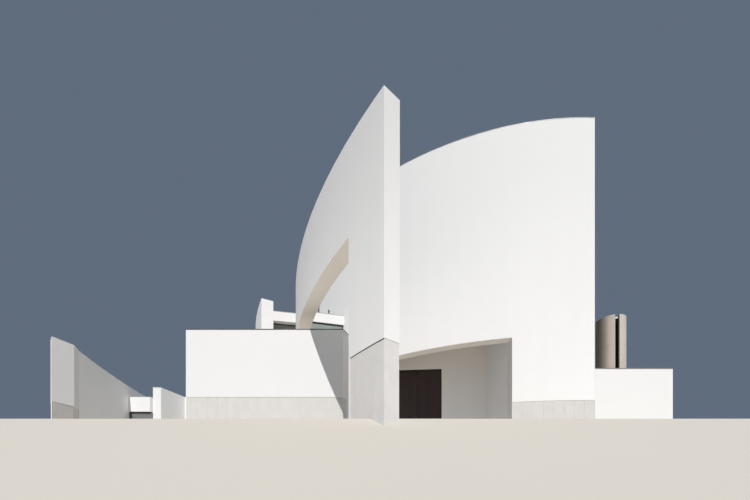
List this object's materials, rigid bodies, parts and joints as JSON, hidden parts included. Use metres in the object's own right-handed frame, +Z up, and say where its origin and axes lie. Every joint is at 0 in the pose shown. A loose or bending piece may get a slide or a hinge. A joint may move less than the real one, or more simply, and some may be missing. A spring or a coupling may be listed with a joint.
{
  "type": "modern church building",
  "caption": "White rendered church: half-drum nave with a carved porch, a tall curved fin wall with a long lintel, low block, curved ambulatory, annex, round shaft and low wing.",
  "frame": {"origin": "centre of the nave's curved wall, at the level of the lowest ground the walls meet, 0.3 m below the square", "axes": "+Z up; -Y towards the square that the porch faces; +X towards the annex"},
  "size_m": [29.1845, 38.6882, 13.98],
  "materials": {
    "white_render": "smooth white lime render, matt",
    "pale_stone": "honed pale limestone slabs",
    "bare_concrete": "board-marked concrete, matt",
    "roof_membrane": "grey roof gravel on a slab, matt",
    "dark_glass": "clear glazing over a dark room",
    "dark_wood": "dark stained boards, satin",
    "dark_metal": "dark brown paint, satin"
  },
  "bodies": {
    "building": {"drum_stone_base": "pale_stone", "drum_wall_front": "white_render", "drum_wall_over_porch": "white_render", "drum_wall_left": "white_render", "drum_wall_rear_left": "white_render", "drum_wall_rear": "white_render", "nave_side_wall": "white_render", "nave_side_stone_base": "pale_stone", "nave_roof": "roof_membrane", "nave_floor": "pale_stone", "porch_side_wall": "white_render", "porch_wall_right": "white_render", "porch_wall_left": "white_render", "porch_wall_over_door": "white_render", "porch_ceiling": "white_render", "door_frame": "dark_metal", "fin_pier": "white_render", "fin_stone_base": "pale_stone", "fin_lintel": "white_render", "fin_rear_wall": "white_render", "ring_wall_left": "white_render", "ring_wall_rear_left": "white_render", "ring_wall_rear": "white_render", "ring_end_wall": "white_render", "ring_roof_left": "roof_membrane", "ring_roof_right": "roof_membrane", "clerestory_glass_left": "dark_glass", "clerestory_glass_right": "dark_glass", "block_front_wall": "white_render", "block_stone_base": "pale_stone", "block_right_wall": "white_render", "block_left_wall": "white_render", "block_roof": "roof_membrane", "annex_front_wall": "white_render", "annex_side_wall": "white_render", "annex_rear_wall": "white_render", "annex_roof": "roof_membrane", "shaft": "bare_concrete", "left_curved_wall": "white_render", "left_end_pier": "white_render", "left_end_stone_base": "pale_stone", "wing_left_wall": "white_render", "wing_front_wall": "white_render", "wing_front_glass": "dark_glass", "wing_rear_wall": "white_render", "wing_roof": "roof_membrane", "lane_lintel": "white_render", "lane_screen": "dark_glass"},
    "left_door": {"door_leaf_left": "dark_wood"},
    "right_door": {"door_leaf_right": "dark_wood"}
  },
  "joints": [
    {"name": "left_door_hinge", "type": "hinge", "parent": "building", "child": "left_door", "pos_m": [-7.77843, -10.23516, 2.5], "axis": [0, 0, 1], "range_deg": [0, 90]},
    {"name": "right_door_hinge", "type": "hinge", "parent": "building", "child": "right_door", "pos_m": [-5.31426, -10.43169, 2.5], "axis": [0, 0, -1], "range_deg": [0, 90]}
  ]
}
